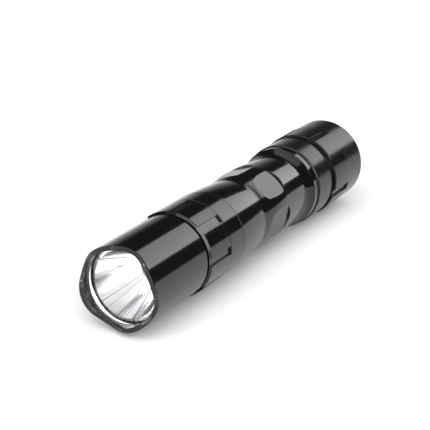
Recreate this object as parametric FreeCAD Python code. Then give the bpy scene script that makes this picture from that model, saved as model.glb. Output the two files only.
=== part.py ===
"""Tactical flashlight for one AA cell: crowned head, waisted body, tail cap with a push switch.

The light lies along X. The tail end face is at x = 0 and the beam points to +X.
All sizes are in millimetres.
"""
import FreeCAD, Part
import math
import os

V = FreeCAD.Vector
X_AXIS = V(1, 0, 0)
ORIGIN = V(0, 0, 0)

# ---- the cell and the tube that holds it ----
cell_length = 50.5
cell_diameter = 14.5
cell_side_clearance = 0.20
cell_nub_length = 1.4
cell_nub_r = 2.75
cell_wrap_thickness = 0.12
cell_gasket_height = 1.0
cell_gasket_clearance = 0.02

# ---- screw joints at both ends of the body ----
thread_pitch = 1.0
thread_depth = 0.45
thread_clearance = 0.08
spigot_wall = 0.75
oring_section = 0.76
oring_groove_width = 1.1
oring_clearance = 0.03
rear_spigot_length = 8.0
front_spigot_length = 6.6

# ---- tail cap ----
tail_cap_length = 25.0
tail_end_r = 10.2
tail_grip_r = 10.35
tail_front_r = 10.0
tail_end_band = 7.6
tail_slot_length = 8.5
tail_groove_width = 1.8
tail_groove_depth = 0.55
tail_wall_length = 2.6
button_hole_r = 5.6
cap_to_body_gap = 0.5

# ---- body outline ----
rear_flare_r = 9.75
rear_flare_band = 1.6
rear_crease_r = 8.55
rear_flare_length = 4.5
rear_cone_length = 9.0
rear_cone_r = 9.15
bulge_r = 9.36
bulge_share = 0.407
front_crease_r = 8.75
front_taper_length = 11.9
body_front_r = 9.55
flat_count = 6
flat_depth = 0.6
flat_cutter_diameter = 7.2
flat_cutter_travel = 2.6
flat_from_bulge = 0.1
flat_angle = 49.0

# ---- grip slots, the same cutter on the head collar and the tail cap ----
slot_count = 8
slot_width = 1.9
slot_depth = 0.5
tail_slot_angle = 26.0
head_slot_angle = 0.0

# ---- head ----
collar_length = 14.9
collar_r = 9.65
collar_plain_band = 6.0
collar_front_chamfer = 0.45
collar_rear_chamfer = 0.15
collar_spigot_length = 4.0
head_gap = 0.6
barrel_r = 9.2
barrel_wall = 0.65
barrel_length = 21.2
barrel_rear_chamfer = 0.25
crown_lobes = 4
crown_depth = 1.4
crown_tip_angle = 23.3
crown_valley_share = 0.42
crown_edge_round = 0.12
lens_recess = 2.6
lens_lip = 0.35
lens_thickness = 1.35
lens_edge_clearance = 0.05
lens_seal_thickness = 0.3

# ---- reflector and light source ----
reflector_flange = 1.0
reflector_mouth_r = 7.3
reflector_focal_length = 1.2
reflector_hole_r = 2.4
reflector_wall = 0.7
board_thickness = 1.2
led_board_r = 7.4
led_package_side = 3.5
led_package_height = 0.7
led_dome_r = 1.55
centring_ring_r = 3.5
centring_ring_height = 1.5
lead_r = 0.35
lead_offset = 4.7
lead_hole_clearance = 0.15
solder_r = 0.6

# ---- driver pill ----
pill_wall = 0.75
pill_fit = 0.05
pill_flange = 1.0
pill_web = 1.5
pill_recess = 1.2
driver_seat_step = 0.6
driver_recess = 0.8
contact_length = 4.4
contact_r = 2.6
contact_foot_r = 3.6
contact_foot = 0.6
cell_ahead_of_joint = 4.8
inductor_r = 2.1
inductor_height = 3.0

# ---- tail switch ----
boot_flange_thickness = 1.0
boot_wall = 0.8
boot_proud_inset = 0.9
boot_hole_clearance = 0.2
boot_washer_thickness = 0.6
switch_seat_r = 7.7
switch_fit = 0.05
housing_length = 5.4
housing_wall = 1.2
plunger_r = 2.9
plunger_flange_r = 4.2
plunger_flange = 1.0
plunger_running_fit = 0.1
moving_contact_thickness = 0.4
retaining_ring_width = 1.4
retaining_ring_hole_r = 5.6
return_spring_wire_r = 0.16
return_spring_r = 3.45
return_spring_turns = 3
tail_spring_wire_r = 0.42
tail_spring_base_r = 4.9
tail_spring_top_r = 3.4
tail_spring_turns = 4

# ---- stations along the axis, from the tail end face ----
bore_r = cell_diameter / 2 + cell_side_clearance
thread_root_r = bore_r + spigot_wall
thread_major_r = thread_root_r + thread_depth
socket_r = thread_major_r + thread_clearance
x_body_rear = tail_cap_length + cap_to_body_gap
x_cell_rear = x_body_rear - rear_spigot_length
x_cell_front = x_cell_rear + cell_length
x_joint = x_cell_front - cell_ahead_of_joint
x_rear_crease = x_body_rear + rear_flare_length
x_front_crease = x_joint - front_taper_length
x_collar_front = x_joint + collar_length
x_barrel_rear = x_collar_front + head_gap
x_tip = x_barrel_rear + barrel_length
x_lens_front = x_tip - lens_recess
x_lip = x_lens_front + lens_seal_thickness
x_lens_rear = x_lens_front - lens_thickness
barrel_bore_r = barrel_r - barrel_wall
lens_r = barrel_bore_r - lens_edge_clearance
x_driver_rear = x_cell_front + contact_length
x_driver_front = x_driver_rear + board_thickness
x_pill_rear = x_driver_rear - driver_recess
x_collar_step = x_pill_rear - pill_recess
x_spigot_front = x_collar_front + collar_spigot_length
collar_spigot_r = barrel_bore_r - pill_fit
pill_r = collar_spigot_r - pill_wall - pill_fit
x_led_board = x_spigot_front + pill_flange
x_led = x_led_board + board_thickness
x_washer = tail_wall_length + boot_flange_thickness
x_housing = x_washer + boot_washer_thickness
x_switch_board = x_housing + housing_length
x_retainer = x_switch_board + board_thickness
x_switch_front = x_retainer + retaining_ring_width


def tube(x0, x1, outer, inner=0.0):
    """A cylinder or a plain ring about X."""
    shape = Part.makeCylinder(outer, x1 - x0, V(x0, 0, 0), X_AXIS)
    if inner > 0:
        shape = shape.cut(Part.makeCylinder(inner, x1 - x0 + 2, V(x0 - 1, 0, 0), X_AXIS))
    return shape


def turned(outline):
    """A solid turned about X from (x, radius) points; an (x, radius, "arc") point is passed through."""
    edges = []
    start = outline[0]
    middle = None
    for point in outline[1:] + outline[:1]:
        if len(point) == 3:
            middle = point
            continue
        a = V(start[0], start[1], 0)
        b = V(point[0], point[1], 0)
        if middle:
            edges.append(Part.Arc(a, V(middle[0], middle[1], 0), b).toShape())
        else:
            edges.append(Part.LineSegment(a, b).toShape())
        start = point
        middle = None
    return Part.Face(Part.Wire(edges)).revolve(ORIGIN, X_AXIS, 360)


def torus(x, r, section):
    """A ring of round section about X."""
    return Part.makeTorus(r, section / 2, V(x, 0, 0), X_AXIS)


def block(x, y, z, size_x, size_y, size_z):
    """A box that starts at x and is centred on y and z."""
    return Part.makeBox(size_x, size_y, size_z, V(x, y - size_y / 2, z - size_z / 2))


def around(shape, count, first_angle):
    """Copies of a shape that points to +Y, spaced evenly about X."""
    copies = []
    for i in range(count):
        copy = shape.copy()
        copy.rotate(ORIGIN, X_AXIS, first_angle + i * 360.0 / count)
        copies.append(copy)
    return copies


def coil(x0, x1, r0, r1, wire_r, turns):
    """A compression spring about X, from radius r0 at x0 to r1 at x1."""
    rise = (x1 - x0 - 2 * wire_r) / turns
    cone = math.degrees(math.atan2(r1 - r0, x1 - x0 - 2 * wire_r))
    path = Part.makeHelix(rise, rise * turns, r0, cone)
    path.rotate(ORIGIN, V(0, 1, 0), 90)
    path.translate(V(x0 + wire_r, 0, 0))
    start = path.Edges[0].valueAt(path.Edges[0].FirstParameter)
    tangent = path.Edges[0].tangentAt(path.Edges[0].FirstParameter)
    ring = Part.Wire(Part.makeCircle(wire_r, start, tangent))
    return Part.Wire(path.Edges).makePipeShell([ring], True, True)


def male_thread(x0, x1, root_r):
    """The ridge of an outside thread, sunk a little into the tube it stands on."""
    sink = 0.05
    base = thread_pitch * 0.78
    crest = thread_pitch * 0.22
    turns = (x1 - x0 - base) / thread_pitch
    path = Part.makeHelix(thread_pitch, turns * thread_pitch, root_r)
    section = [V(root_r - sink, 0, 0), V(root_r + thread_depth, 0, (base - crest) / 2),
               V(root_r + thread_depth, 0, (base + crest) / 2), V(root_r - sink, 0, base)]
    wire = Part.makePolygon(section + section[:1])
    ridge = Part.Wire(path.Edges).makePipeShell([wire], True, True)
    ridge.rotate(ORIGIN, V(0, 1, 0), 90)
    ridge.translate(V(x0, 0, 0))
    return ridge


def grip_slots(x0, x1, outer, first_angle):
    """Square-ended cutters for the lengthwise slots of a knurl-free grip."""
    reach = 3.0
    cutter = block(x0, outer - slot_depth + reach / 2, 0, x1 - x0, reach, slot_width)
    return around(cutter, slot_count, first_angle)


def make_body_tube():
    x_cone = x_rear_crease + rear_cone_length
    x_bulge = x_cone + bulge_share * (x_front_crease - x_cone)
    lead_in = thread_depth
    x_front_tip = x_joint + front_spigot_length
    body = turned([
        (x_cell_rear, bore_r), (x_cell_rear, thread_root_r - lead_in / 2),
        (x_cell_rear + lead_in / 2, thread_root_r), (x_body_rear, thread_root_r),
        (x_body_rear, rear_flare_r - 0.2), (x_body_rear + 0.2, rear_flare_r),
        (x_body_rear + rear_flare_band, rear_flare_r),
        (x_rear_crease - 1.1, rear_crease_r + 0.28, "arc"), (x_rear_crease, rear_crease_r),
        (x_cone, rear_cone_r), (x_bulge, bulge_r, "arc"), (x_front_crease, front_crease_r),
        (x_front_crease + front_taper_length * 0.45, front_crease_r + 0.47, "arc"),
        (x_joint - 0.15, body_front_r), (x_joint, body_front_r - 0.15),
        (x_joint, thread_root_r), (x_front_tip - lead_in / 2, thread_root_r),
        (x_front_tip, thread_root_r - lead_in / 2), (x_front_tip, bore_r)])
    cutter_height = 3.0
    bottom = bulge_r - flat_depth
    x_flat = x_bulge + flat_from_bulge
    cutter = block(x_flat - flat_cutter_travel / 2, bottom + cutter_height / 2, 0,
                   flat_cutter_travel, cutter_height, flat_cutter_diameter)
    for end in (-0.5, 0.5):
        cutter = cutter.fuse(Part.makeCylinder(flat_cutter_diameter / 2, cutter_height,
                                               V(x_flat + end * flat_cutter_travel, bottom, 0), V(0, 1, 0)))
    cutter = cutter.removeSplitter()
    body = body.cut(around(cutter, flat_count, flat_angle))
    groove_root = socket_r - oring_clearance - oring_section
    for x_groove in (x_body_rear - 0.6 - oring_groove_width, x_joint + 0.6):
        body = body.cut(tube(x_groove, x_groove + oring_groove_width, socket_r, groove_root))
    land = 0.6 + oring_groove_width + 0.4
    body = body.fuse(male_thread(x_cell_rear + lead_in, x_body_rear - land, thread_root_r))
    body = body.fuse(male_thread(x_joint + land, x_front_tip - lead_in, thread_root_r))
    return body.removeSplitter()


def make_tail_cap():
    groove_rear = tail_end_band + tail_slot_length
    groove_front = groove_rear + tail_groove_width
    edge = 0.4
    cap = turned([
        (0, button_hole_r + 0.3), (0, tail_end_r - edge), (edge, tail_end_r),
        (tail_end_band - 0.15, tail_end_r), (tail_end_band, tail_grip_r),
        (groove_rear - 0.2, tail_grip_r), (groove_rear, tail_grip_r - 0.2),
        (groove_rear, tail_front_r - tail_groove_depth), (groove_front, tail_front_r - tail_groove_depth),
        (groove_front, tail_front_r - 0.2), (groove_front + 0.2, tail_front_r),
        (tail_cap_length - 0.3, tail_front_r), (tail_cap_length, tail_front_r - 0.3),
        (tail_cap_length, socket_r), (x_switch_front, socket_r), (x_switch_front, switch_seat_r),
        (tail_wall_length, switch_seat_r), (tail_wall_length, button_hole_r), (0.3, button_hole_r)])
    return cap.cut(grip_slots(tail_end_band, groove_rear + 0.5, tail_grip_r, tail_slot_angle))


def make_collar():
    ring = turned([
        (x_joint, socket_r), (x_joint, collar_r - collar_rear_chamfer),
        (x_joint + collar_rear_chamfer, collar_r),
        (x_joint + collar_plain_band - 0.1, collar_r), (x_joint + collar_plain_band, collar_r - 0.06),
        (x_joint + collar_plain_band + 0.1, collar_r),
        (x_collar_front - collar_front_chamfer, collar_r),
        (x_collar_front, collar_r - collar_front_chamfer), (x_collar_front, collar_spigot_r),
        (x_spigot_front, collar_spigot_r), (x_spigot_front, pill_r + pill_fit),
        (x_collar_step, pill_r + pill_fit), (x_collar_step, socket_r)])
    return ring.cut(grip_slots(x_joint + collar_plain_band, x_collar_front + 0.5, collar_r, head_slot_angle))


def crown_cutter():
    """A prism that cuts one valley of the crown: a hollow arc that runs out into two rounded tips."""
    half = barrel_r * math.sin(math.pi / crown_lobes)
    valley = half * crown_valley_share
    drop = crown_depth * crown_valley_share
    x_valley = x_tip - crown_depth
    turn = math.atan2(drop, valley)

    def on_valley(share):
        radius = valley / math.sin(2 * turn)
        angle = 2 * turn * share
        return V(x_valley + radius * (1 - math.cos(angle)), 0, radius * math.sin(angle))

    def on_tip(share):
        radius = (half - valley) / math.sin(2 * turn)
        angle = 2 * turn * share
        return V(x_tip - radius * (1 - math.cos(angle)), 0, half - radius * math.sin(angle))

    def mirrored(point):
        return V(point.x, 0, -point.z)

    beyond = x_tip + 5
    edges = [
        Part.Arc(mirrored(on_tip(0)), mirrored(on_tip(0.5)), mirrored(on_tip(1))).toShape(),
        Part.Arc(mirrored(on_valley(1)), on_valley(0), on_valley(1)).toShape(),
        Part.Arc(on_tip(1), on_tip(0.5), on_tip(0)).toShape(),
        Part.makePolygon([on_tip(0), V(beyond, 0, half), V(beyond, 0, -half), mirrored(on_tip(0))])]
    all_edges = edges[:3] + edges[3].Edges
    return Part.Face(Part.Wire(all_edges)).extrude(V(0, barrel_r + 2, 0))


def make_head_barrel():
    lip_r = lens_r - lens_lip + lens_edge_clearance
    barrel = turned([
        (x_barrel_rear, barrel_bore_r), (x_barrel_rear, barrel_r - barrel_rear_chamfer),
        (x_barrel_rear + barrel_rear_chamfer, barrel_r), (x_tip, barrel_r), (x_tip, lip_r),
        (x_lip, lip_r), (x_lip, barrel_bore_r)])
    valley_angle = crown_tip_angle + 180.0 / crown_lobes
    barrel = barrel.cut(around(crown_cutter(), crown_lobes, valley_angle))
    rim = [edge for edge in barrel.Edges
           if edge.BoundBox.XMin > x_tip - crown_depth - 0.05 and edge.Length > crown_edge_round]
    return barrel.makeFillet(crown_edge_round, rim)


def make_reflector():
    """A polished bowl: a parabola whose focus is at the emitter, with an even wall behind it."""
    depth = reflector_mouth_r ** 2 / (4 * reflector_focal_length)
    hole_depth = reflector_hole_r ** 2 / (4 * reflector_focal_length)
    x_vertex = x_lens_rear - depth
    x_hole = x_vertex + hole_depth
    steps = 8

    def curve(offset):
        points = []
        for i in range(steps + 1):
            r = reflector_hole_r + (reflector_mouth_r - reflector_hole_r) * i / steps
            slope = 2 * reflector_focal_length / r
            spread = offset / math.hypot(1, slope)
            x = x_vertex + r ** 2 / (4 * reflector_focal_length)
            points.append(V(x - spread, r + spread * slope, 0))
        return points

    inner = curve(0)
    outer = curve(reflector_wall)
    flange_back = x_lens_rear - reflector_flange
    outer = [point for point in outer if point.x < flange_back - 0.2 and point.x > x_hole]
    spline_in = Part.BSplineCurve()
    spline_in.interpolate(inner)
    spline_out = Part.BSplineCurve()
    spline_out.interpolate(outer)
    neck_r = reflector_hole_r + reflector_wall
    corners = [inner[-1], V(x_lens_rear, lens_r, 0), V(flange_back, lens_r, 0),
               V(flange_back, outer[-1].y, 0), outer[-1]]
    rear = [outer[0], V(outer[0].x - 0.3, neck_r, 0), V(x_seat_back(), neck_r, 0),
            V(x_seat_back(), reflector_hole_r, 0), inner[0]]
    edges = [spline_in.toShape()] + Part.makePolygon(corners).Edges
    edges += [spline_out.toShape()] + Part.makePolygon(rear).Edges
    profile = Part.Face(Part.Wire(Part.__sortEdges__(edges)))
    return profile.revolve(ORIGIN, X_AXIS, 360)


def x_seat_back():
    """Where the reflector neck rests on the centring ring."""
    return x_led + centring_ring_height


def make_driver_pill():
    hole_r = lead_r + lead_hole_clearance
    holes = [Part.makeCylinder(hole_r, 30, V(x_driver_front, side * lead_offset, 0), X_AXIS)
             for side in (1, -1)]
    cavity_r = pill_r - pill_wall
    x_web = x_spigot_front - pill_web
    pill = turned([
        (x_pill_rear, cavity_r), (x_pill_rear, pill_r), (x_spigot_front, pill_r),
        (x_spigot_front, collar_spigot_r), (x_led_board, collar_spigot_r), (x_led_board, 0), (x_web, 0),
        (x_web, cavity_r - driver_seat_step), (x_driver_front, cavity_r - driver_seat_step),
        (x_driver_front, cavity_r)])
    return pill.cut(holes)


def make_lead(side):
    """One insulated lead from the driver to its pad, with the solder joint at the front."""
    y = side * lead_offset
    wire = Part.makeCylinder(lead_r, x_led - x_driver_front, V(x_driver_front, y, 0), X_AXIS)
    joint = Part.makeSphere(solder_r, V(x_led, y, 0))
    dome = joint.common(block(x_led, y, 0, 2, 4, 4))
    return wire.fuse(dome).removeSplitter()


def make_led_board():
    holes = [Part.makeCylinder(lead_r + 0.02, 9, V(x_led_board - 4, side * lead_offset, 0), X_AXIS)
             for side in (1, -1)]
    notch = Part.makeCylinder(1.3, 9, V(x_led_board - 4, led_board_r, 0), X_AXIS)
    board = tube(x_led_board, x_led, led_board_r)
    return board.cut(holes + around(notch, 6, 30))


def make_switch_boot():
    """A rubber button: a clamped flange and a hollow dome that stands in the tail hole."""
    dome_r = button_hole_r - boot_hole_clearance
    top = boot_proud_inset
    base = tail_wall_length
    flange_r = switch_seat_r - switch_fit
    return turned([
        (top, 0), (top + 0.35, dome_r * 0.62, "arc"), (top + 1.3, dome_r - 0.1), (base, dome_r),
        (base, flange_r), (x_washer, flange_r), (x_washer, dome_r - boot_wall),
        (top + 1.3 + boot_wall, dome_r - boot_wall), (top + boot_wall + 0.3, dome_r * 0.58),
        (top + boot_wall, dome_r * 0.38), (top + boot_wall, 0)])


def make_switch_housing():
    outer = switch_seat_r - switch_fit - 0.4
    cavity_r = plunger_flange_r + plunger_running_fit
    return turned([
        (x_housing, plunger_r + plunger_running_fit), (x_housing, outer),
        (x_switch_board, outer), (x_switch_board, cavity_r),
        (x_housing + housing_wall, cavity_r), (x_housing + housing_wall, plunger_r + plunger_running_fit)])


def make_plunger():
    x_flange = x_housing + housing_wall + plunger_running_fit
    x_tail = boot_proud_inset + boot_wall + 0.35
    return turned([
        (x_tail, 0), (x_tail, plunger_r - 0.3), (x_tail + 0.3, plunger_r), (x_flange, plunger_r),
        (x_flange, plunger_flange_r), (x_flange + plunger_flange, plunger_flange_r),
        (x_flange + plunger_flange, 0)])


x_plunger_front = x_housing + housing_wall + plunger_running_fit + plunger_flange
can_r = cell_diameter / 2 - cell_wrap_thickness
x_can_front = x_cell_front - cell_nub_length
x_oring_rear = x_body_rear - 0.6 - oring_groove_width / 2
x_oring_front = x_joint + 0.6 + oring_groove_width / 2
oring_r = socket_r - oring_clearance - oring_section / 2
driver_r = pill_r - pill_wall - pill_fit
switch_part_r = switch_seat_r - switch_fit

parts = {
    "head_barrel": make_head_barrel(),
    "lens": tube(x_lens_rear, x_lens_front, lens_r),
    "lens_seal": tube(x_lens_front, x_lip, lens_r, lens_r - lens_lip + lens_edge_clearance - 0.02),
    "reflector": make_reflector(),
    "centring_ring": tube(x_led, x_seat_back(), centring_ring_r, led_package_side * 0.72),
    "led_package": block(x_led, 0, 0, led_package_height, led_package_side, led_package_side),
    "led_dome": Part.makeSphere(led_dome_r, V(x_led + led_package_height, 0, 0)).common(
        block(x_led + led_package_height, 0, 0, 5, 8, 8)),
    "led_board": make_led_board(),
    "driver_pill": make_driver_pill(),
    "driver_board": tube(x_driver_rear, x_driver_front, driver_r),
    "driver_inductor": Part.makeCylinder(inductor_r, inductor_height, V(x_driver_front, 0, 3.0), X_AXIS),
    "driver_chip": block(x_driver_front, 0.8, -2.6, 1.3, 4.0, 3.0),
    "driver_capacitor": block(x_driver_front, -3.2, -2.4, 1.1, 1.4, 2.4),
    "led_lead_positive": make_lead(1),
    "led_lead_negative": make_lead(-1),
    "contact_post": turned([
        (x_cell_front, 0), (x_cell_front, contact_r - 0.3), (x_cell_front + 0.3, contact_r),
        (x_driver_rear - contact_foot, contact_r), (x_driver_rear - contact_foot, contact_foot_r),
        (x_driver_rear, contact_foot_r), (x_driver_rear, 0)]),
    "grip_collar": make_collar(),
    "front_oring": torus(x_oring_front, oring_r, oring_section),
    "body_tube": make_body_tube(),
    "rear_oring": torus(x_oring_rear, oring_r, oring_section),
    "cell_can": turned([
        (x_cell_rear, 0), (x_cell_rear, can_r - 0.4), (x_cell_rear + 0.4, can_r),
        (x_can_front - 0.3, can_r), (x_can_front, can_r - 0.3), (x_can_front, cell_nub_r + 2.2),
        (x_can_front - cell_gasket_height, cell_nub_r + 2.2), (x_can_front - cell_gasket_height, 0)]),
    "cell_wrap": tube(x_cell_rear + 0.5, x_can_front - 0.4, cell_diameter / 2, can_r),
    "cell_gasket": tube(x_can_front - cell_gasket_height, x_can_front, cell_nub_r + 2.2,
                        cell_nub_r + cell_gasket_clearance),
    "cell_cap": turned([
        (x_can_front - cell_gasket_height, 0), (x_can_front - cell_gasket_height, cell_nub_r),
        (x_cell_front - 0.3, cell_nub_r), (x_cell_front, cell_nub_r - 0.3), (x_cell_front, 0)]),
    "tail_cap": make_tail_cap(),
    "negative_spring": coil(x_retainer, x_cell_rear, tail_spring_base_r, tail_spring_top_r,
                            tail_spring_wire_r, tail_spring_turns),
    "switch_board": tube(x_switch_board, x_retainer, switch_part_r),
    "switch_housing": make_switch_housing(),
    "switch_plunger": make_plunger(),
    "moving_contact": tube(x_plunger_front, x_plunger_front + moving_contact_thickness, 2.6, 0.9),
    "return_spring": coil(x_plunger_front, x_switch_board, return_spring_r, return_spring_r,
                          return_spring_wire_r, return_spring_turns),
    "retaining_ring": tube(x_retainer, x_switch_front, switch_part_r, retaining_ring_hole_r),
    "boot_washer": tube(x_washer, x_housing, switch_part_r, button_hole_r - boot_hole_clearance - boot_wall),
    "switch_boot": make_switch_boot(),
}

os.makedirs("parts", exist_ok=True)
for name, shape in parts.items():
    if not shape.isValid() or len(shape.Solids) != 1:
        raise ValueError(name + " is not one valid solid")
    shape.Solids[0].exportStep("parts/" + name + ".step")
    print(name, round(shape.Volume, 2))
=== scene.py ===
"""Looks of a small tactical flashlight: turned black shells, a polished reflector and a plain studio."""
import math

import bpy
from mathutils import Matrix, Vector


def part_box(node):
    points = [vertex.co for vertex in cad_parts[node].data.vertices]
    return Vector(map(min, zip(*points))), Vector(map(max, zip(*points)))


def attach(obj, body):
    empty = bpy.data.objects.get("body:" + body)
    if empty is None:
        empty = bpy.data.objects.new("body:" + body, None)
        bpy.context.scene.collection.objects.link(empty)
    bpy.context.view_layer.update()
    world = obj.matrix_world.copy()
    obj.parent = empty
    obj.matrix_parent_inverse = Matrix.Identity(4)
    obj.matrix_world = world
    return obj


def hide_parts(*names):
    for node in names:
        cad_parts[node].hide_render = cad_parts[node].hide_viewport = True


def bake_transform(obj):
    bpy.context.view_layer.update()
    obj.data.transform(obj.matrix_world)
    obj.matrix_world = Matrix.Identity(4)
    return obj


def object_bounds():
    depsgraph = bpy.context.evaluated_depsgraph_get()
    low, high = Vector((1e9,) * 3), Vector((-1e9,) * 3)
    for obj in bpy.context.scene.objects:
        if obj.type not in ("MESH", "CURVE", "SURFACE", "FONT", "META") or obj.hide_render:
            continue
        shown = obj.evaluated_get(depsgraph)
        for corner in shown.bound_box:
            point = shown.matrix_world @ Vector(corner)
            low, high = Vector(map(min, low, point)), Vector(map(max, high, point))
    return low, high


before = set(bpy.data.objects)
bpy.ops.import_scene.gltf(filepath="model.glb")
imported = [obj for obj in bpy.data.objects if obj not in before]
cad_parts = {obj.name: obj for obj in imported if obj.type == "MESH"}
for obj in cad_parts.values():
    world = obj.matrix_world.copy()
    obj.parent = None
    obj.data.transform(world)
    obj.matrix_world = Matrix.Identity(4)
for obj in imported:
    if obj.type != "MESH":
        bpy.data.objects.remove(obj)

bl_info = {
    "name": "Tactical flashlight",
    "version": (1, 0, 0),
    "blender": (4, 5, 0),
    "location": "View3D > Sidebar > Flashlight",
    "description": "Builds the shells, the reflector, the finishes and the studio of a small flashlight",
    "category": "Object",
}

CAD_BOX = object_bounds()
MM = 0.001
SEGMENTS = 144
SOCKET_R = 8.73
FLAT_ANGLE = 49.0
TAIL_SLOT_ANGLE = 26.0
HEAD_SLOT_ANGLE = 0.0
CROWN_VALLEY_SHARE = 0.42


def span(node):
    """Where a node starts and ends along the light, and its radius, in millimetres."""
    low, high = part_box(node)
    return low[0] / MM, high[0] / MM, max(high[1], -low[1]) / MM


# ---- helpers for modelling ----

def deselect_all():
    if bpy.context.object and bpy.context.object.mode != "OBJECT":
        bpy.ops.object.mode_set(mode="OBJECT")
    bpy.ops.object.select_all(action="DESELECT")


def activate(piece):
    deselect_all()
    piece.select_set(True)
    bpy.context.view_layer.objects.active = piece


def arc_points(a, m, b, steps):
    """Points from a to b, a left out, on the circle through a, m and b."""
    d = 2 * (a[0] * (m[1] - b[1]) + m[0] * (b[1] - a[1]) + b[0] * (a[1] - m[1]))
    qa, qm, qb = (p[0] ** 2 + p[1] ** 2 for p in (a, m, b))
    cx = (qa * (m[1] - b[1]) + qm * (b[1] - a[1]) + qb * (a[1] - m[1])) / d
    cy = (qa * (b[0] - m[0]) + qm * (a[0] - b[0]) + qb * (m[0] - a[0])) / d
    r = math.hypot(a[0] - cx, a[1] - cy)
    start, middle, end = (math.atan2(p[1] - cy, p[0] - cx) for p in (a, m, b))
    turn = (end - start + math.pi) % (2 * math.pi) - math.pi
    to_middle = (middle - start + math.pi) % (2 * math.pi) - math.pi
    if turn * to_middle < 0:
        turn -= math.copysign(2 * math.pi, turn)
    angles = [start + turn * i / steps for i in range(1, steps + 1)]
    return [(cx + r * math.cos(t), cy + r * math.sin(t)) for t in angles]


def outline(items, steps=14):
    """(x, radius) points of a turned outline; an (x, radius, "arc") point is passed through."""
    points = [items[0]]
    middle = None
    for item in items[1:] + items[:1]:
        if len(item) == 3:
            middle = item
        elif middle:
            points += arc_points(points[-1], middle, item, steps)
            middle = None
        else:
            points.append(item)
    return points


def turn_piece(name, points):
    """Turns a closed outline about X: a ring is extruded from point to point and closed on itself."""
    deselect_all()
    x, r = points[0]
    bpy.ops.mesh.primitive_circle_add(vertices=SEGMENTS, radius=r * MM, fill_type="NOTHING",
                                      location=(x * MM, 0, 0), rotation=(0, math.pi / 2, 0))
    piece = bpy.context.object
    piece.name = name
    bpy.ops.object.transform_apply(location=True, rotation=True, scale=True)
    bpy.ops.object.mode_set(mode="EDIT")
    bpy.ops.mesh.select_mode(type="EDGE")
    bpy.ops.mesh.select_all(action="SELECT")
    for new_x, new_r in points[1:]:
        bpy.ops.mesh.extrude_edges_move(TRANSFORM_OT_translate={"value": ((new_x - x) * MM, 0, 0)})
        scale = new_r / r
        bpy.ops.transform.resize(value=(1, scale, scale), center_override=(new_x * MM, 0, 0))
        x, r = new_x, new_r
    bpy.ops.mesh.select_all(action="SELECT")
    bpy.ops.mesh.remove_doubles(threshold=1e-6)
    bpy.ops.mesh.normals_make_consistent(inside=False)
    bpy.ops.object.mode_set(mode="OBJECT")
    return piece


def around_axis(tool, count, first_angle):
    """Copies a tool that points to +Y evenly about X and joins the copies into one object."""
    activate(tool)
    bpy.ops.object.transform_apply(location=True, rotation=True, scale=True)
    copies = []
    for i in range(count):
        copy = tool.copy()
        copy.data = tool.data.copy()
        copy.data.transform(Matrix.Rotation(math.radians(first_angle + i * 360 / count), 4, "X"))
        bpy.context.collection.objects.link(copy)
        copies.append(copy)
    bpy.data.objects.remove(tool)
    deselect_all()
    for copy in copies:
        copy.select_set(True)
    bpy.context.view_layer.objects.active = copies[0]
    bpy.ops.object.join()
    return bpy.context.object


def cut_away(piece, tool):
    """Takes the tool's volume out of the piece."""
    activate(piece)
    cut = piece.modifiers.new("cut", "BOOLEAN")
    cut.operation = "DIFFERENCE"
    cut.solver = "EXACT"
    cut.object = tool
    bpy.ops.object.modifier_apply(modifier=cut.name)
    bpy.data.objects.remove(tool)


def slot_tool(x0, x1, outer, depth, width):
    """One lengthwise slot cutter on the +Y side."""
    reach = 3.0
    deselect_all()
    bpy.ops.mesh.primitive_cube_add(size=1, scale=((x1 - x0) * MM, reach * MM, width * MM),
                                    location=((x0 + x1) / 2 * MM, (outer - depth + reach / 2) * MM, 0))
    return bpy.context.object


def wind(piece, turns, length, steps):
    """Winds a section into a helix about X with the Screw modifier and closes its ends."""
    activate(piece)
    screw = piece.modifiers.new("helix", "SCREW")
    screw.axis = "X"
    screw.angle = 2 * math.pi * turns
    screw.screw_offset = length * MM
    screw.steps = steps
    screw.render_steps = steps
    bpy.ops.object.modifier_apply(modifier=screw.name)
    bpy.ops.object.mode_set(mode="EDIT")
    bpy.ops.mesh.select_all(action="SELECT")
    bpy.ops.mesh.remove_doubles(threshold=1e-7)
    bpy.ops.mesh.select_all(action="DESELECT")
    bpy.ops.mesh.select_non_manifold()
    bpy.ops.mesh.fill_holes(sides=12)
    bpy.ops.mesh.select_all(action="SELECT")
    bpy.ops.mesh.normals_make_consistent(inside=False)
    bpy.ops.object.mode_set(mode="OBJECT")


def break_edges(piece, width, angle=28):
    """A machinist's broken edge on every sharp corner, then smooth shading between the sharp edges."""
    activate(piece)
    bevel = piece.modifiers.new("edge", "BEVEL")
    bevel.width = width * MM
    bevel.segments = 3
    bevel.limit_method = "ANGLE"
    bevel.angle_limit = math.radians(angle)
    bevel.use_clamp_overlap = True
    bevel.miter_outer = "MITER_ARC"
    bpy.ops.object.modifier_apply(modifier=bevel.name)
    shade(piece, 24)


def shade(piece, angle):
    """Smooth shading that keeps sharp edges and leaves the large flat faces truly flat."""
    activate(piece)
    bpy.ops.object.shade_smooth_by_angle(angle=math.radians(angle))
    weighted = piece.modifiers.new("normals", "WEIGHTED_NORMAL")
    weighted.keep_sharp = True
    weighted.weight = 60
    bpy.ops.object.modifier_apply(modifier=weighted.name)


# ---- helpers for finishes ----

def linear(hex_colour):
    """A linear RGBA colour from an sRGB hex string."""
    values = [int(hex_colour[i:i + 2], 16) / 255 for i in (1, 3, 5)]
    return tuple(v / 12.92 if v <= 0.04045 else ((v + 0.055) / 1.055) ** 2.4 for v in values) + (1.0,)


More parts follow.
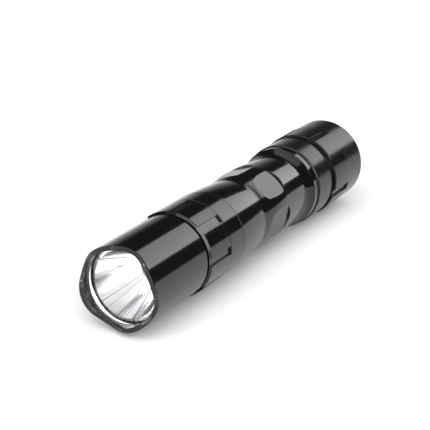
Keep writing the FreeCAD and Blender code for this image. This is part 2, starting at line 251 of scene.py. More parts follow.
def add_node(tree, kind, settings=None, links=None):
    """Adds one node: settings name its properties or sockets, links name the sockets it is fed from."""
    node = tree.nodes.new(kind)
    for key, value in (settings or {}).items():
        if isinstance(key, str) and hasattr(node, key) and key not in node.inputs:
            setattr(node, key, value)
        else:
            node.inputs[key].default_value = value
    for key, source in (links or {}).items():
        tree.links.new(source, node.inputs[key])
    return node


def new_material(name, **sockets):
    """A material with one Principled shader, its uniform values set on the shader itself."""
    material = bpy.data.materials.new(name)
    material.use_nodes = True
    tree = material.node_tree
    shader = tree.nodes["Principled BSDF"]
    for key, value in sockets.items():
        shader.inputs[key.replace("_", " ")].default_value = value
    place = add_node(tree, "ShaderNodeTexCoord").outputs["Object"]
    return material, tree, shader, place


def spots(tree, place, size_mm, detail=3.0):
    """Noise whose patches are about size_mm across."""
    return add_node(tree, "ShaderNodeTexNoise", {"Scale": 1 / (size_mm * MM), "Detail": detail},
                    {"Vector": place}).outputs["Fac"]


def remap(tree, value, low, high, to_low, to_high):
    return add_node(tree, "ShaderNodeMapRange", {"From Min": low, "From Max": high, "To Min": to_low,
                                                 "To Max": to_high}, {"Value": value}).outputs["Result"]


def calc(tree, operation, first, second=None):
    """A Math node on sockets or plain numbers."""
    node = add_node(tree, "ShaderNodeMath", {"operation": operation})
    for i, value in enumerate((first, second)):
        if value is None:
            continue
        if isinstance(value, (int, float)):
            node.inputs[i].default_value = value
        else:
            tree.links.new(value, node.inputs[i])
    return node.outputs[0]


def place_round_light(tree, place):
    """The separate coordinates of a point, and its angle round the light's axis from +Y towards +Z."""
    parts = add_node(tree, "ShaderNodeSeparateXYZ", links={"Vector": place})
    return parts, calc(tree, "ARCTAN2", parts.outputs["Z"], parts.outputs["Y"])


def two_tones(tree, factor, first, second):
    mix = add_node(tree, "ShaderNodeMix", {"data_type": "RGBA"}, {"Factor": factor})
    for socket, colour in ((mix.inputs[6], first), (mix.inputs[7], second)):
        socket.default_value = linear(colour)
    return mix.outputs[2]


def bump(tree, shader, height, depth_mm, strength=1.0, under=None):
    node = add_node(tree, "ShaderNodeBump", {"Distance": depth_mm * MM, "Strength": strength},
                    {"Height": height})
    if under:
        tree.links.new(under, node.inputs["Normal"])
    tree.links.new(node.outputs[0], shader.inputs["Normal"])
    return node.outputs[0]


def lathe_rings(tree, place, pitch_mm):
    """Fine rings round X with the pitch of the turning tool."""
    return add_node(tree, "ShaderNodeTexWave", {"wave_type": "BANDS", "bands_direction": "X",
                                                "Scale": 0.31416 / (pitch_mm * MM), "Distortion": 0.4,
                                                "Detail": 1.0}, {"Vector": place}).outputs["Fac"]


# ---- the finishes ----

def gloss_anodised(name="gloss_black_anodised_aluminium", gloss=0.09, index=1.47):
    """Bright-dipped aluminium, dyed black: a deep glassy black that still shows the lathe's fine rings.

    The rings are really about 0.1 mm apart, and are drawn coarser so that they show.
    """
    material, tree, shader, place = new_material(name, IOR=index)
    haze = spots(tree, place, 6.0, 2.0)
    fine = spots(tree, place, 0.35, 4.0)
    tree.links.new(two_tones(tree, haze, "#080809", "#0f0f10"), shader.inputs["Base Color"])
    rough = calc(tree, "ADD", remap(tree, haze, 0.3, 0.7, gloss, gloss * 1.3),
                 remap(tree, fine, 0.3, 0.7, 0.0, gloss * 0.3))
    tree.links.new(rough, shader.inputs["Roughness"])
    rings = bump(tree, shader, lathe_rings(tree, place, 0.22), 0.0006, 0.6)
    bump(tree, shader, fine, 0.0008, 0.5, under=rings)
    return material


def crown_anodised(settings):
    """The same black, with a grey metal band along the crown's edge, on which the light gets stood: a
    painted highlight of the edge.
    """
    material = gloss_anodised("gloss_black_anodised_crown_painted_highlight")
    tree = material.node_tree
    shader = tree.nodes["Principled BSDF"]
    place = next(n for n in tree.nodes if n.type == "TEX_COORD").outputs["Object"]
    parts, angle = place_round_light(tree, place)
    lobes = calc(tree, "MULTIPLY", calc(tree, "SUBTRACT", angle, math.radians(settings.crown_tip_angle)),
                 float(settings.crown_lobes))
    tip = span("head_barrel")[1]
    middle = tip - settings.crown_depth / 2
    swing = calc(tree, "MULTIPLY", calc(tree, "COSINE", lobes), settings.crown_depth / 2 * MM)
    edge = calc(tree, "ADD", swing, middle * MM)
    from_edge = calc(tree, "SUBTRACT", parts.outputs["X"], edge)
    # Painted highlight: grey metallic colour along the crown's scalloped edge, its border made ragged by
    # noise.
    highlight_breakup = spots(tree, place, 0.4, 6.0)
    reach = calc(tree, "ADD", from_edge, remap(tree, highlight_breakup, 0.5, 0.8, -0.25 * MM, 0.02 * MM))
    painted_edge_highlight = remap(tree, reach, 0.0, 0.1 * MM, 0.0, 0.7)
    old = shader.inputs["Base Color"].links[0].from_socket
    mix = add_node(tree, "ShaderNodeMix", {"data_type": "RGBA"}, {"Factor": painted_edge_highlight})
    tree.links.new(old, mix.inputs[6])
    mix.inputs[7].default_value = linear("#8f9092")
    tree.links.new(mix.outputs[2], shader.inputs["Base Color"])
    tree.links.new(painted_edge_highlight, shader.inputs["Metallic"])
    rough = shader.inputs["Roughness"].links[0].from_socket
    tree.links.new(calc(tree, "ADD", rough, calc(tree, "MULTIPLY", painted_edge_highlight, 0.25)), shader.inputs["Roughness"])
    return material


def milled_anodised():
    """Flats cut by an end mill and then dyed: the same black, satin, with the cutter's fine cross lines."""
    material, tree, shader, place = new_material("satin_black_anodised_milled_flat", IOR=1.77)
    lines = add_node(tree, "ShaderNodeTexWave", {"wave_type": "BANDS", "bands_direction": "X",
                                                 "Scale": 0.31416 / (0.5 * MM), "Distortion": 1.0,
                                                 "Detail": 2.0}, {"Vector": place}).outputs["Fac"]
    haze = spots(tree, place, 1.5, 3.0)
    tree.links.new(two_tones(tree, lines, "#1d1d1f", "#2b2b2d"), shader.inputs["Base Color"])
    tree.links.new(remap(tree, haze, 0.3, 0.7, 0.24, 0.34), shader.inputs["Roughness"])
    bump(tree, shader, lines, 0.003, 0.7)
    return material


def mirror_reflector():
    """Vacuum-metallised plastic: a clean mirror with faint streaks that run from the emitter to the rim, and
    thin dark radial lines painted into its colour as painted reflections.
    """
    material, tree, shader, place = new_material("vacuum_metallised_mirror", Metallic=1.0)
    _, angle = place_round_light(tree, place)
    ring = add_node(tree, "ShaderNodeCombineXYZ", links={"X": calc(tree, "COSINE", angle),
                                                         "Y": calc(tree, "SINE", angle)}).outputs[0]
    streaks = add_node(tree, "ShaderNodeTexNoise", {"Scale": 7.0, "Detail": 3.0},
                       {"Vector": ring}).outputs["Fac"]
    # Thin dark radial lines in the mirror's colour are painted reflections.
    lines = add_node(tree, "ShaderNodeTexNoise", {"Scale": 11.0, "Detail": 2.0},
                     {"Vector": ring}).outputs["Fac"]
    painted_reflection_lines = remap(tree, lines, 0.6, 0.68, 0.0, 1.0)
    tree.links.new(two_tones(tree, painted_reflection_lines, "#fafafb", "#9a9b9e"), shader.inputs["Base Color"])
    tree.links.new(remap(tree, streaks, 0.35, 0.65, 0.18, 0.1), shader.inputs["Roughness"])
    bump(tree, shader, streaks, 0.02, 0.6)
    return material


def clear_lens():
    """Polished acrylic: clear, with a trace of dust that only roughens it."""
    material, tree, shader, place = new_material("clear_polished_acrylic", IOR=1.49)
    shader.inputs["Transmission Weight"].default_value = 1.0
    dust = spots(tree, place, 0.5, 5.0)
    tree.links.new(two_tones(tree, dust, "#fafcfc", "#ffffff"), shader.inputs["Base Color"])
    tree.links.new(remap(tree, dust, 0.6, 0.8, 0.0, 0.05), shader.inputs["Roughness"])
    return material


def moulded(name, dark, light, grain_mm, rough):
    """Moulded plastic, rubber or resin: a little uneven in tone, with the grain of its mould."""
    material, tree, shader, place = new_material(name)
    tone = spots(tree, place, grain_mm * 8, 2.0)
    grain = spots(tree, place, grain_mm, 3.0)
    tree.links.new(two_tones(tree, tone, dark, light), shader.inputs["Base Color"])
    tree.links.new(remap(tree, grain, 0.3, 0.7, rough - 0.06, rough + 0.06), shader.inputs["Roughness"])
    bump(tree, shader, grain, grain_mm * 0.04, 0.6)
    return material


def turned_metal(name, dark, light, rough, pitch_mm):
    """Bare or plated metal off the lathe: fine rings catch the light across the axis."""
    material, tree, shader, place = new_material(name, Metallic=1.0)
    rings = lathe_rings(tree, place, pitch_mm)
    tone = spots(tree, place, 2.0, 3.0)
    tree.links.new(two_tones(tree, tone, dark, light), shader.inputs["Base Color"])
    tree.links.new(remap(tree, rings, 0.0, 1.0, rough - 0.05, rough + 0.08), shader.inputs["Roughness"])
    bump(tree, shader, rings, 0.002, 0.5)
    return material


def shrink_sleeve():
    """Printed PVC sleeve of the cell: two plain bands of colour under a gloss skin."""
    material, tree, shader, place = new_material("printed_shrink_sleeve", Coat_Weight=0.5)
    parts = add_node(tree, "ShaderNodeSeparateXYZ", links={"Vector": place})
    low, high, _ = span("cell_wrap")
    band = remap(tree, parts.outputs["X"], (high - 13.0) * MM, (high - 12.9) * MM, 0.0, 1.0)
    tree.links.new(two_tones(tree, band, "#1c3f86", "#c9a24a"), shader.inputs["Base Color"])
    tree.links.new(remap(tree, spots(tree, place, 1.0), 0.3, 0.7, 0.25, 0.35), shader.inputs["Roughness"])
    return material


def white_floor():
    """Matt white paper sweep with a faint tooth."""
    material, tree, shader, place = new_material("matt_white_paper")
    tooth = spots(tree, place, 0.6, 3.0)
    tree.links.new(two_tones(tree, tooth, "#f3f3f3", "#f6f6f6"), shader.inputs["Base Color"])
    shader.inputs["Roughness"].default_value = 0.9
    shader.inputs["Specular IOR Level"].default_value = 0.1
    bump(tree, shader, tooth, 0.01, 0.2)
    return material


def glowing_card(strength, low, high):
    """Diffuser cloth of a softbox, lit from one side: brightest along its low edge."""
    material, tree, shader, place = new_material("lit_diffuser_cloth")
    _, turn = place_round_light(tree, place)
    glow = remap(tree, turn, low, high, strength * 1.45, strength * 0.78)
    shader.inputs["Base Color"].default_value = (0, 0, 0, 1)
    shader.inputs["Emission Color"].default_value = (1, 1, 1, 1)
    tree.links.new(glow, shader.inputs["Emission Strength"])
    return material


def dress(piece, *materials):
    piece.data.materials.clear()
    for material in materials:
        piece.data.materials.append(material)


# ---- sizes and settings that a user would change ----

def number(name, description, default):
    return bpy.props.FloatProperty(name=name, description=description, default=default, min=0.0)


def whole(name, description, default):
    return bpy.props.IntProperty(name=name, description=description, default=default, min=1)


class ShellSizes(bpy.types.PropertyGroup):
    """Millimetre sizes of the turned and milled shells."""
    edge: number("Broken edge", "Width of the rounded corner on turned edges, in millimetres", 0.07)
    slot_count: whole("Slots", "Slots round each grip", 8)
    slot_width: number("Slot width", "Width of a grip slot in millimetres", 1.9)
    slot_depth: number("Slot depth", "Depth of a grip slot in millimetres", 0.5)
    flat_count: whole("Flats", "Milled flats round the waist", 6)
    flat_cutter: number("Flat cutter", "Diameter of the end mill that makes a flat, in millimetres", 7.2)
    flat_travel: number("Flat travel", "How far the end mill moves along the light, in millimetres", 2.6)
    flat_depth: number("Flat depth", "Depth of a flat below the bulge in millimetres", 0.6)
    crown_lobes: whole("Crown lobes", "Tips round the crown", 4)
    crown_depth: number("Crown depth", "From tip to valley of the crown in millimetres", 1.4)
    crown_tip_angle: number("Crown angle", "Where the first tip stands round the axis, in degrees", 23.3)


class StudioSettings(bpy.types.PropertyGroup):
    """Camera and lights."""
    azimuth: bpy.props.FloatProperty(
        name="Azimuth", description="Camera's turn round the light, in degrees", default=118.7)
    elevation: bpy.props.FloatProperty(
        name="Elevation", description="Camera's height angle in degrees", default=19.7)
    distance: bpy.props.FloatProperty(
        name="Distance", description="From the camera to its aim point", default=0.2956, unit="LENGTH")
    focal_length: bpy.props.FloatProperty(
        name="Focal length", description="Lens in millimetres on a 36 mm frame", default=117.2)
    aim: bpy.props.FloatVectorProperty(
        name="Aim", description="Point the camera looks at", subtype="TRANSLATION",
        default=(0.0716, 0.0069, 0.0082))
    top_light: number("Top light", "Power of the overhead softbox", 14.0)
    strip_light: number("Strip light", "Brightness of the long softbox above and behind the tail", 2.7)
    front_light: number("Front light", "Power of the softbox in front", 6.0)
    side_light: number("Side light", "Power of the softbox on the near side", 11.0)
    front_wall: number("Front wall", "Brightness of the room's wall in front of the light", 1.9)


# ---- the pieces ----

class FLASHLIGHT_OT_head_barrel(bpy.types.Operator):
    """Smooth head shell with its scalloped crown"""
    bl_idname = "flashlight.head_barrel"
    bl_label = "Head barrel"

    def execute(self, context):
        sizes = context.scene.shell_sizes
        rear, tip, r = span("head_barrel")
        lens_r = span("lens")[2]
        lip_x = span("lens_seal")[1]
        bore = lens_r + 0.05
        lip = lens_r - 0.3
        rings = 6
        wall = [(tip - 4.0 + 4.0 * i / rings, r) for i in range(rings)]
        inner = [(tip - 0.8 * (i + 1) / 3, lip) for i in range(3)]
        barrel = turn_piece("head_shell", outline(
            [(rear, bore), (rear, r - 0.25), (rear + 0.25, r)] + wall + [(tip, r), (tip, lip)] + inner
            + [(lip_x, lip), (lip_x, bore)]))
        self.shape_crown(barrel, sizes, tip, r)
        break_edges(barrel, sizes.edge * 1.2, angle=35)
        dress(barrel, crown_anodised(sizes))
        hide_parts("head_barrel")
        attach(barrel, "head")
        return {"FINISHED"}

    def shape_crown(self, barrel, sizes, tip, r):
        """Pulls each column of the rim back to the crown's line; the rings behind follow less and less."""
        half = r * math.sin(math.pi / sizes.crown_lobes)
        valley = half * CROWN_VALLEY_SHARE
        drop = sizes.crown_depth * CROWN_VALLEY_SHARE
        turn = 2 * math.atan2(drop, valley)
        valley_r = valley / math.sin(turn)
        tip_r = (half - valley) / math.sin(turn)
        step = 2 * math.pi / sizes.crown_lobes
        first = math.radians(sizes.crown_tip_angle) + step / 2
        fade = 4.0
        for vertex in barrel.data.vertices:
            x, y, z = vertex.co / MM
            near = 1 - (tip - x) / fade
            if near <= 0 or math.hypot(y, z) < r - 1.2 and x < tip - 0.9:
                continue
            off = (math.atan2(z, y) - first + step / 2) % step - step / 2
            t = abs(r * math.sin(off))
            if t < valley:
                line = sizes.crown_depth - valley_r + math.sqrt(valley_r ** 2 - t * t)
            else:
                line = tip_r - math.sqrt(max(tip_r ** 2 - (half - t) ** 2, 0))
            vertex.co.x -= line * near * MM


class FLASHLIGHT_OT_grip_collar(bpy.types.Operator):
    """Slotted collar behind the head shell"""
    bl_idname = "flashlight.grip_collar"
    bl_label = "Grip collar"

    def execute(self, context):
        sizes = context.scene.shell_sizes
        joint, spigot_front, r = span("grip_collar")
        front = span("head_barrel")[0] - 0.6
        spigot = span("lens")[2]
        pill = span("driver_pill")[0]
        step = pill - 1.2
        bore = 7.7
        slots_from = joint + 6.0
        collar = turn_piece("head_collar", outline([
            (joint, SOCKET_R), (joint, r - 0.15), (joint + 0.15, r), (slots_from - 0.1, r),
            (slots_from, r - 0.06), (slots_from + 0.1, r), (front - 0.45, r), (front, r - 0.45),
            (front, spigot), (spigot_front, spigot), (spigot_front, bore), (step, bore), (step, SOCKET_R)]))
        tool = slot_tool(slots_from, front + 0.5, r, sizes.slot_depth, sizes.slot_width)
        cut_away(collar, around_axis(tool, sizes.slot_count, HEAD_SLOT_ANGLE))
        break_edges(collar, sizes.edge)
        dress(collar, gloss_anodised())
        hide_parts("grip_collar")
        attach(collar, "head")
        return {"FINISHED"}


class FLASHLIGHT_OT_body_tube(bpy.types.Operator):
    """Waisted body with six milled flats and a screw thread at each end"""
    bl_idname = "flashlight.body_tube"
    bl_label = "Body tube"

    def execute(self, context):
        sizes = context.scene.shell_sizes
        rear_tip, front_tip, _ = span("body_tube")
        rear = span("tail_cap")[1] + 0.5
        joint = span("grip_collar")[0]
        bore, root = 7.45, 8.2
        flare, crease, cone, bulge, waist, shoulder = 9.75, 8.55, 9.15, 9.36, 8.75, 9.55
        crease_x, waist_x = rear + 4.5, joint - 11.9
        cone_x = crease_x + 9.0
        middle = cone_x + 0.407 * (waist_x - cone_x)
        flat_x = middle + 0.1
        body = turn_piece("body_shell", outline([
            (rear_tip, bore), (rear_tip, root - 0.22), (rear_tip + 0.22, root), (rear - 1.7, root),
            (rear - 1.7, root - 0.29), (rear - 0.6, root - 0.29), (rear - 0.6, root), (rear, root),
            (rear, flare - 0.2), (rear + 0.2, flare), (rear + 1.6, flare),
            (crease_x - 1.1, crease + 0.28, "arc"), (crease_x, crease), (cone_x, cone),
            (middle, bulge, "arc"), (waist_x, waist),
            (waist_x + 5.355, waist + 0.47, "arc"), (joint - 0.15, shoulder), (joint, shoulder - 0.15),
            (joint, root), (joint + 0.6, root), (joint + 0.6, root - 0.29), (joint + 1.7, root - 0.29),
            (joint + 1.7, root), (front_tip - 0.22, root), (front_tip, root - 0.22), (front_tip, bore)], 20))
        bottom = bulge - sizes.flat_depth
        deselect_all()
        bpy.ops.mesh.primitive_cylinder_add(vertices=128, radius=sizes.flat_cutter / 2 * MM, depth=3 * MM,
                                            location=(flat_x * MM, (bottom + 1.5) * MM, 0),
                                            rotation=(-math.pi / 2, 0, 0))
        tool = bpy.context.object
        bpy.ops.object.transform_apply(location=True, rotation=True, scale=True)
        for vertex in tool.data.vertices:
            side = vertex.co.x / MM - flat_x
            vertex.co.x += math.copysign(sizes.flat_travel / 2 * MM, side) if abs(side) > 0.01 else 0
        cut_away(body, around_axis(tool, sizes.flat_count, FLAT_ANGLE))
        self.mark_flats(body, sizes, bottom)
        dress(body, gloss_anodised(), milled_anodised())
        break_edges(body, sizes.edge * 0.7, angle=20)
        for x0, x1 in ((rear_tip + 0.45, rear - 2.1), (joint + 2.1, front_tip - 0.45)):
            self.add_thread(body, x0, x1, root)
        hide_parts("body_tube")
        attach(body, "body")
        return {"FINISHED"}

    def mark_flats(self, body, sizes, bottom):
        """Gives the bottoms of the flats the milled finish."""
        for i in range(sizes.flat_count):
            angle = math.radians(FLAT_ANGLE + i * 360 / sizes.flat_count)
            out = Vector((0, math.cos(angle), math.sin(angle)))
            for face in body.data.polygons:
                if face.normal.dot(out) > 0.9999 and abs(face.center.dot(out) - bottom * MM) < 0.02 * MM:
                    face.material_index = 1

    def add_thread(self, body, x0, x1, root):
        """A thread ridge wound on the spigot by the Screw modifier and joined to the body."""
        pitch, depth, sink = 1.0, 0.45, 0.05
        base = 0.78
        deselect_all()
        bpy.ops.mesh.primitive_plane_add(size=1, location=(0, 0, 0), rotation=(math.pi / 2, 0, 0))
        ridge = bpy.context.object
        bpy.ops.object.transform_apply(location=True, rotation=True, scale=True)
        for vertex in ridge.data.vertices:
            out = vertex.co.z > 0
            side = 1 if vertex.co.x > 0 else -1
            half = 0.11 if out else base / 2
            vertex.co = Vector(((x0 + base / 2 + side * half) * MM, 0,
                                (root + depth if out else root - sink) * MM))
        bpy.ops.object.mode_set(mode="EDIT")
        bpy.ops.mesh.select_all(action="SELECT")
        bpy.ops.mesh.delete(type="ONLY_FACE")
        bpy.ops.object.mode_set(mode="OBJECT")
        turns = (x1 - x0 - base) / pitch
        wind(ridge, turns, turns * pitch, int(72 * turns))
        shade(ridge, 30)
        dress(ridge, body.data.materials[0])
        deselect_all()
        ridge.select_set(True)
        body.select_set(True)
        bpy.context.view_layer.objects.active = body
        bpy.ops.object.join()


class FLASHLIGHT_OT_tail_cap(bpy.types.Operator):
    """Slotted screw cap"""
    bl_idname = "flashlight.tail_cap"
    bl_label = "Tail cap"

    def execute(self, context):
        sizes = context.scene.shell_sizes
        _, front, _ = span("tail_cap")
        end_r, grip_r, front_r, hole = 10.2, 10.35, 10.0, 5.6
        band, groove_rear = 7.6, 16.1
        groove_front = groove_rear + 1.8
        floor = front_r - 0.55
        seat = 7.7
        wall = span("boot_washer")[0] - 1.0
        seat_front = span("retaining_ring")[1]
        cap = turn_piece("tail_shell", outline([
            (0, hole + 0.3), (0, end_r - 0.4), (0.12, end_r - 0.12, "arc"), (0.4, end_r),
            (band - 0.15, end_r), (band, grip_r), (groove_rear - 0.2, grip_r), (groove_rear, grip_r - 0.2),
            (groove_rear, floor), (groove_front, floor), (groove_front, front_r - 0.2),
            (groove_front + 0.2, front_r), (front - 0.3, front_r), (front, front_r - 0.3),
            (front, SOCKET_R), (seat_front, SOCKET_R), (seat_front, seat), (wall, seat), (wall, hole),
            (0.3, hole)], 5))
        tool = slot_tool(band, groove_rear + 0.5, grip_r, sizes.slot_depth, sizes.slot_width)
        cut_away(cap, around_axis(tool, sizes.slot_count, TAIL_SLOT_ANGLE))
        break_edges(cap, sizes.edge)
        dress(cap, gloss_anodised("handled_black_anodised_aluminium", 0.17, 1.37))
        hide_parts("tail_cap")
        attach(cap, "tail")
        return {"FINISHED"}


class FLASHLIGHT_OT_reflector(bpy.types.Operator):
    """Mirror bowl with its focus at the emitter"""
    bl_idname = "flashlight.reflector"
    bl_label = "Reflector"

    def execute(self, context):
        back, front, rim = span("reflector")
        focal, mouth, hole, wall = 1.2, 7.3, 2.4, 0.7
        vertex_x = front - mouth ** 2 / (4 * focal)
        steps = 28
        inner, outer = [], []
        for i in range(steps + 1):
            r = hole + (mouth - hole) * i / steps
            slope = 2 * focal / r
            spread = wall / math.hypot(1, slope)
            inner.append((vertex_x + r * r / (4 * focal), r))
            outer.append((inner[-1][0] - spread, r + spread * slope))
        outer = [p for p in outer if inner[0][0] < p[0] < front - 1.2]
        bowl = turn_piece("reflector_bowl", outline(
            inner + [(front, rim), (front - 1.0, rim), (front - 1.0, outer[-1][1])] + outer[::-1]
            + [(outer[0][0] - 0.3, hole + wall), (back, hole + wall), (back, hole)]))
        shade(bowl, 20)
        dress(bowl, mirror_reflector())
        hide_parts("reflector")
        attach(bowl, "head")
        return {"FINISHED"}


class FLASHLIGHT_OT_switch_boot(bpy.types.Operator):
    """Rubber button that domes up in the tail"""
    bl_idname = "flashlight.switch_boot"
    bl_label = "Switch boot"

    def execute(self, context):
        top, flange_x, flange_r = span("switch_boot")
        seat_x = flange_x - 1.0
        r, wall = 5.4, 0.8
        pole = 0.05
        boot = turn_piece("rubber_button", outline([
            (top, pole), (top + 0.35, r * 0.62, "arc"), (top + 1.3, r - 0.1), (seat_x, r),
            (seat_x, flange_r), (flange_x, flange_r), (flange_x, r - wall), (top + 1.3 + wall, r - wall),
            (top + wall + 0.1, pole)]))
        for ring in (1.4, 2.6, 3.8):
            self.press_ring(boot, ring, top)
        activate(boot)
        bpy.ops.object.mode_set(mode="EDIT")
        bpy.ops.mesh.select_all(action="SELECT")
        bpy.ops.mesh.normals_make_consistent(inside=False)
        bpy.ops.object.mode_set(mode="OBJECT")
        shade(boot, 40)
        dress(boot, moulded("moulded_silicone_rubber", "#0d0d0e", "#161617", 0.12, 0.55))
        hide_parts("switch_boot")
        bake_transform(boot)
        return {"FINISHED"}

    def press_ring(self, boot, ring, top):
        """Sinks a shallow ring into the dome, as a grip for the thumb."""
        for vertex in boot.data.vertices:
            x, y, z = vertex.co / MM
            off = abs(math.hypot(y, z) - ring)
            if x < top + 0.7 and off < 0.3:
                vertex.co.x += 0.12 * (1 - off / 0.3) * MM


class FLASHLIGHT_OT_return_spring(bpy.types.Operator):
    """Spring that pushes the button back, squeezed as the button goes in"""
    bl_idname = "flashlight.return_spring"
    bl_label = "Return spring"

    def execute(self, context):
        start, end, reach = span("return_spring")
        wire, turns = 0.16, 3
        length = end - start - 2 * wire
        deselect_all()
        bpy.ops.mesh.primitive_circle_add(vertices=12, radius=wire * MM, rotation=(math.pi / 2, 0, 0),
                                          location=((start + wire) * MM, 0, (wire - reach) * MM))
        spring = bpy.context.object
        spring.name = "return_coil"
        bpy.ops.object.transform_apply(location=True, rotation=True, scale=True)
        wind(spring, turns, length, 48 * turns)
        shade(spring, 40)
        dress(spring, turned_metal("bright_spring_steel", "#9c9da0", "#b3b4b6", 0.2, 0.1))
        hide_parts("return_spring")
        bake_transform(spring)
        return {"FINISHED"}


INSIDE = {
    "lens_seal": ("moulded", "black_nitrile_rubber", "#0c0c0c", "#151515", 0.1, 0.5),
    "front_oring": ("moulded", "black_nitrile_rubber", "#0c0c0c", "#151515", 0.1, 0.5),
    "rear_oring": ("moulded", "black_nitrile_rubber", "#0c0c0c", "#151515", 0.1, 0.5),
    "centring_ring": ("moulded", "white_moulded_nylon", "#d9d9d4", "#e6e6e1", 0.15, 0.45),
    "boot_washer": ("moulded", "white_moulded_nylon", "#d9d9d4", "#e6e6e1", 0.15, 0.45),
    "switch_plunger": ("moulded", "white_moulded_nylon", "#d9d9d4", "#e6e6e1", 0.15, 0.45),
    "led_package": ("moulded", "white_alumina_ceramic", "#e2e2dc", "#ecece8", 0.08, 0.4),
    "led_dome": ("moulded", "silicone_over_phosphor", "#d8c24a", "#e6d468", 0.3, 0.12),
    "led_board": ("moulded", "white_solder_mask", "#dadcd6", "#e8eae4", 0.2, 0.3),
    "driver_board": ("moulded", "green_solder_mask", "#0f4a26", "#155c31", 0.3, 0.3),
    "switch_board": ("moulded", "green_solder_mask", "#0f4a26", "#155c31", 0.3, 0.3),
    "driver_inductor": ("moulded", "moulded_ferrite", "#232425", "#2e2f31", 0.15, 0.6),
    "driver_chip": ("moulded", "moulded_epoxy", "#141415", "#1c1c1d", 0.08, 0.45),
    "driver_capacitor": ("moulded", "sintered_ceramic", "#8a6b43", "#a07e54", 0.1, 0.4),
    "led_lead_positive": ("moulded", "red_silicone_insulation", "#8e1616", "#a51d1b", 0.1, 0.4),
    "led_lead_negative": ("moulded", "black_silicone_insulation", "#101010", "#191919", 0.1, 0.4),
    "switch_housing": ("moulded", "black_moulded_nylon", "#151516", "#1e1e1f", 0.12, 0.5),
    "cell_gasket": ("moulded", "black_moulded_nylon", "#151516", "#1e1e1f", 0.12, 0.5),
    "driver_pill": ("turned", "turned_brass", "#a9813c", "#c09a52", 0.25, 0.15),
    "contact_post": ("turned", "turned_brass", "#a9813c", "#c09a52", 0.25, 0.15),
    "moving_contact": ("turned", "turned_brass", "#a9813c", "#c09a52", 0.25, 0.15),
    "negative_spring": ("turned", "nickel_plated_spring_steel", "#9c9da0", "#b3b4b6", 0.2, 0.1),
    "cell_can": ("turned", "nickel_plated_steel", "#a7a8aa", "#bcbdbf", 0.25, 0.3),
    "cell_cap": ("turned", "nickel_plated_steel", "#a7a8aa", "#bcbdbf", 0.25, 0.3),
    "retaining_ring": ("turned", "turned_aluminium", "#b5b6b8", "#c8c9cb", 0.28, 0.2),
}


class FLASHLIGHT_OT_inside(bpy.types.Operator):
    """Finishes of the pieces inside the shells"""
    bl_idname = "flashlight.inside"
    bl_label = "Inside pieces"

    def execute(self, context):
        made = {}
        for node, (kind, name, dark, light, size, rough) in INSIDE.items():
            if name not in made:
                if kind == "moulded":
                    made[name] = moulded(name, dark, light, size, rough)
                else:
                    made[name] = turned_metal(name, dark, light, size, rough)
            dress(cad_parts[node], made[name])
        dress(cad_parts["lens"], clear_lens())
        dress(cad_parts["cell_wrap"], shrink_sleeve())
        return {"FINISHED"}


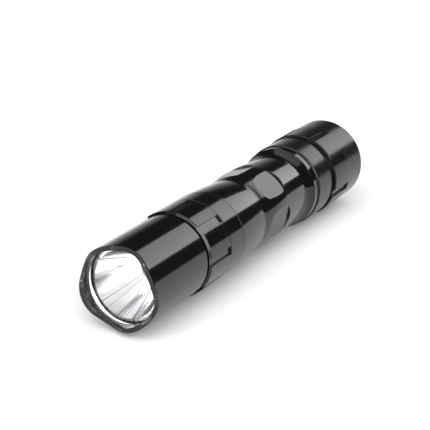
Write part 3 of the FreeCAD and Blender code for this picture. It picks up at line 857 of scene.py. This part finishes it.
class FLASHLIGHT_OT_studio(bpy.types.Operator):
    """White floor, softboxes and camera"""
    bl_idname = "flashlight.studio"
    bl_label = "Studio"

    def execute(self, context):
        scene = context.scene
        settings = scene.studio
        floor_z = CAD_BOX[0][2]
        deselect_all()
        bpy.ops.mesh.primitive_grid_add(x_subdivisions=4, y_subdivisions=4, size=8,
                                        location=(0, 0, floor_z))
        floor = context.object
        floor.name = "floor"
        bpy.ops.object.transform_apply(location=True, rotation=True, scale=True)
        dress(floor, white_floor())
        middle = Vector(((CAD_BOX[0][0] + CAD_BOX[1][0]) / 2, 0, 0))
        self.softbox("top_softbox", middle, (0.1, 0, 1.5), (2.0, 2.0), settings.top_light)
        self.strip(middle, settings)
        self.softbox("front_softbox", middle, (0.9, 0.25, 0.45), (1.3, 1.0), settings.front_light)
        self.softbox("side_softbox", middle, (0.7, 1.05, 0.5), (1.1, 1.0), settings.side_light)
        self.world(scene)
        self.camera(scene, settings)
        scene.view_settings.view_transform = "Standard"
        scene.view_settings.look = "None"
        return {"FINISHED"}

    def softbox(self, name, target, offset, size, power):
        """A rectangular lamp that faces the target from an offset in metres."""
        place = target + Vector(offset)
        bpy.ops.object.light_add(type="AREA", location=place)
        lamp = bpy.context.object
        lamp.name = name
        lamp.data.shape = "RECTANGLE"
        lamp.data.size, lamp.data.size_y = size
        lamp.data.energy = power
        back = (place - target).normalized()
        side = Vector((0, 0, 1)).cross(back).normalized()
        up = back.cross(side)
        lamp.rotation_euler = Matrix((side, up, back)).transposed().to_euler()

    def strip(self, middle, settings):
        """A long softbox above and behind the tail, brighter towards its low edge."""
        low, high, reach = math.radians(38.0), math.radians(94.0), 0.42
        deselect_all()
        bpy.ops.mesh.primitive_grid_add(x_subdivisions=8, y_subdivisions=24, size=1)
        card = bpy.context.object
        card.name = "strip_softbox"
        for vertex in card.data.vertices:
            turn = low + (vertex.co.y + 0.5) * (high - low)
            vertex.co = middle + Vector((-1.9 + (vertex.co.x + 0.5) * 1.52, reach * math.cos(turn),
                                         reach * math.sin(turn)))
        card.visible_camera = False
        card.visible_shadow = False
        dress(card, glowing_card(settings.strip_light, low, high))

    def world(self, scene):
        """Dark room, with the white sweep rising on the far side and a white wall in front of the light."""
        world = bpy.data.worlds.new("studio_room")
        scene.world = world
        world.use_nodes = True
        tree = world.node_tree
        way = add_node(tree, "ShaderNodeTexCoord").outputs["Generated"]
        parts = add_node(tree, "ShaderNodeSeparateXYZ", links={"Vector": way})
        low = remap(tree, parts.outputs["Z"], 0.0, 0.35, 1.0, 0.0)
        far = remap(tree, parts.outputs["Y"], -0.1, 0.15, 1.0, 0.0)
        sweep = calc(tree, "MULTIPLY", low, far)
        wall = remap(tree, parts.outputs["X"], 0.3, 0.6, 0.03, scene.studio.front_wall)
        strength = calc(tree, "ADD", calc(tree, "MULTIPLY", sweep, 0.9), wall)
        tree.links.new(strength, tree.nodes["Background"].inputs["Strength"])
        tree.nodes["Background"].inputs["Color"].default_value = (1, 1, 1, 1)

    def camera(self, scene, settings):
        a, e = math.radians(settings.azimuth), math.radians(settings.elevation)
        back = Vector((math.sin(a) * math.cos(e), -math.cos(a) * math.cos(e), math.sin(e)))
        right = Vector((math.cos(a), math.sin(a), 0))
        up = back.cross(right)
        bpy.ops.object.camera_add(location=Vector(settings.aim) + back * settings.distance)
        camera = bpy.context.object
        camera.rotation_euler = Matrix((right, up, back)).transposed().to_euler()
        camera.data.lens = settings.focal_length
        camera.data.sensor_width = 36
        camera.data.clip_start = 0.01
        camera.data.clip_end = 20
        scene.camera = camera


class FLASHLIGHT_PT_panel(bpy.types.Panel):
    """Lists the steps that build the light and its studio"""
    bl_idname = "FLASHLIGHT_PT_panel"
    bl_label = "Tactical flashlight"
    bl_space_type = "VIEW_3D"
    bl_region_type = "UI"
    bl_category = "Flashlight"

    def draw(self, context):
        for group in (context.scene.shell_sizes, context.scene.studio):
            box = self.layout.box()
            for key in group.__annotations__:
                box.prop(group, key)
        for step in STEPS:
            self.layout.operator(step.bl_idname)


STEPS = (
    FLASHLIGHT_OT_head_barrel,
    FLASHLIGHT_OT_grip_collar,
    FLASHLIGHT_OT_body_tube,
    FLASHLIGHT_OT_tail_cap,
    FLASHLIGHT_OT_reflector,
    FLASHLIGHT_OT_switch_boot,
    FLASHLIGHT_OT_return_spring,
    FLASHLIGHT_OT_inside,
    FLASHLIGHT_OT_studio,
)
CLASSES = (ShellSizes, StudioSettings) + STEPS + (FLASHLIGHT_PT_panel,)


def register():
    for cls in CLASSES:
        bpy.utils.register_class(cls)
    bpy.types.Scene.shell_sizes = bpy.props.PointerProperty(type=ShellSizes)
    bpy.types.Scene.studio = bpy.props.PointerProperty(type=StudioSettings)


def unregister():
    del bpy.types.Scene.studio
    del bpy.types.Scene.shell_sizes
    for cls in reversed(CLASSES):
        bpy.utils.unregister_class(cls)


def main():
    register()
    for step in STEPS:
        group, action = step.bl_idname.split(".")
        getattr(getattr(bpy.ops, group), action)()
    bpy.context.view_layer.update()


if __name__ == "__main__":
    main()
